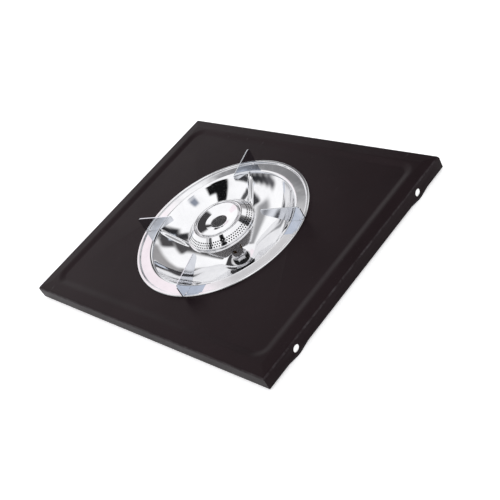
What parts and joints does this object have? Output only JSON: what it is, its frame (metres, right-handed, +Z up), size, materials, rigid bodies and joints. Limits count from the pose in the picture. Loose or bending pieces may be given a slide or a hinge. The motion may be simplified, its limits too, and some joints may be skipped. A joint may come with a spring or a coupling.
{
  "type": "side burner",
  "caption": "Flat black folded-steel side panel with a sunk chromed drip bowl, upright sheet pot arms round it and a lift-off pressed gas burner on a mixing tube.",
  "frame": {"origin": "midway between the bolt holes on the outer face of the +X side flange", "axes": "+X along the panel's length, out of the bolted side flange; +Y across the panel; +Z up, out of the cooking side"},
  "size_m": [0.4, 0.32, 0.0993],
  "materials": {
    "black_paint": "satin black stove enamel",
    "chrome": "bright chrome on pressed steel",
    "plated_steel": "bright zinc plate",
    "brass": "turned brass",
    "copper": "soft copper",
    "black_seal": "matt black fibre"
  },
  "bodies": {
    "panel": {"top_panel": "black_paint", "drip_bowl": "chrome", "pot_arm_1": "chrome", "pot_arm_2": "chrome", "pot_arm_3": "chrome", "pot_arm_4": "chrome", "bowl_seal": "black_seal", "lock_nut": "plated_steel", "bowl_washer": "plated_steel", "spring_washer": "plated_steel", "jet_holder": "brass", "jet_seal": "copper", "injector": "brass"},
    "burner": {"mixing_tube": "chrome", "burner_base": "chrome", "burner_ring": "chrome"},
    "cap": {"burner_cap": "chrome"}
  },
  "joints": [
    {"name": "burner_lift", "type": "slide", "parent": "panel", "child": "burner", "axis": [0, 0, 1], "range_m": [0, 0.06]},
    {"name": "cap_lift", "type": "slide", "parent": "burner", "child": "cap", "axis": [0, 0, 1], "range_m": [0, 0.03]}
  ]
}
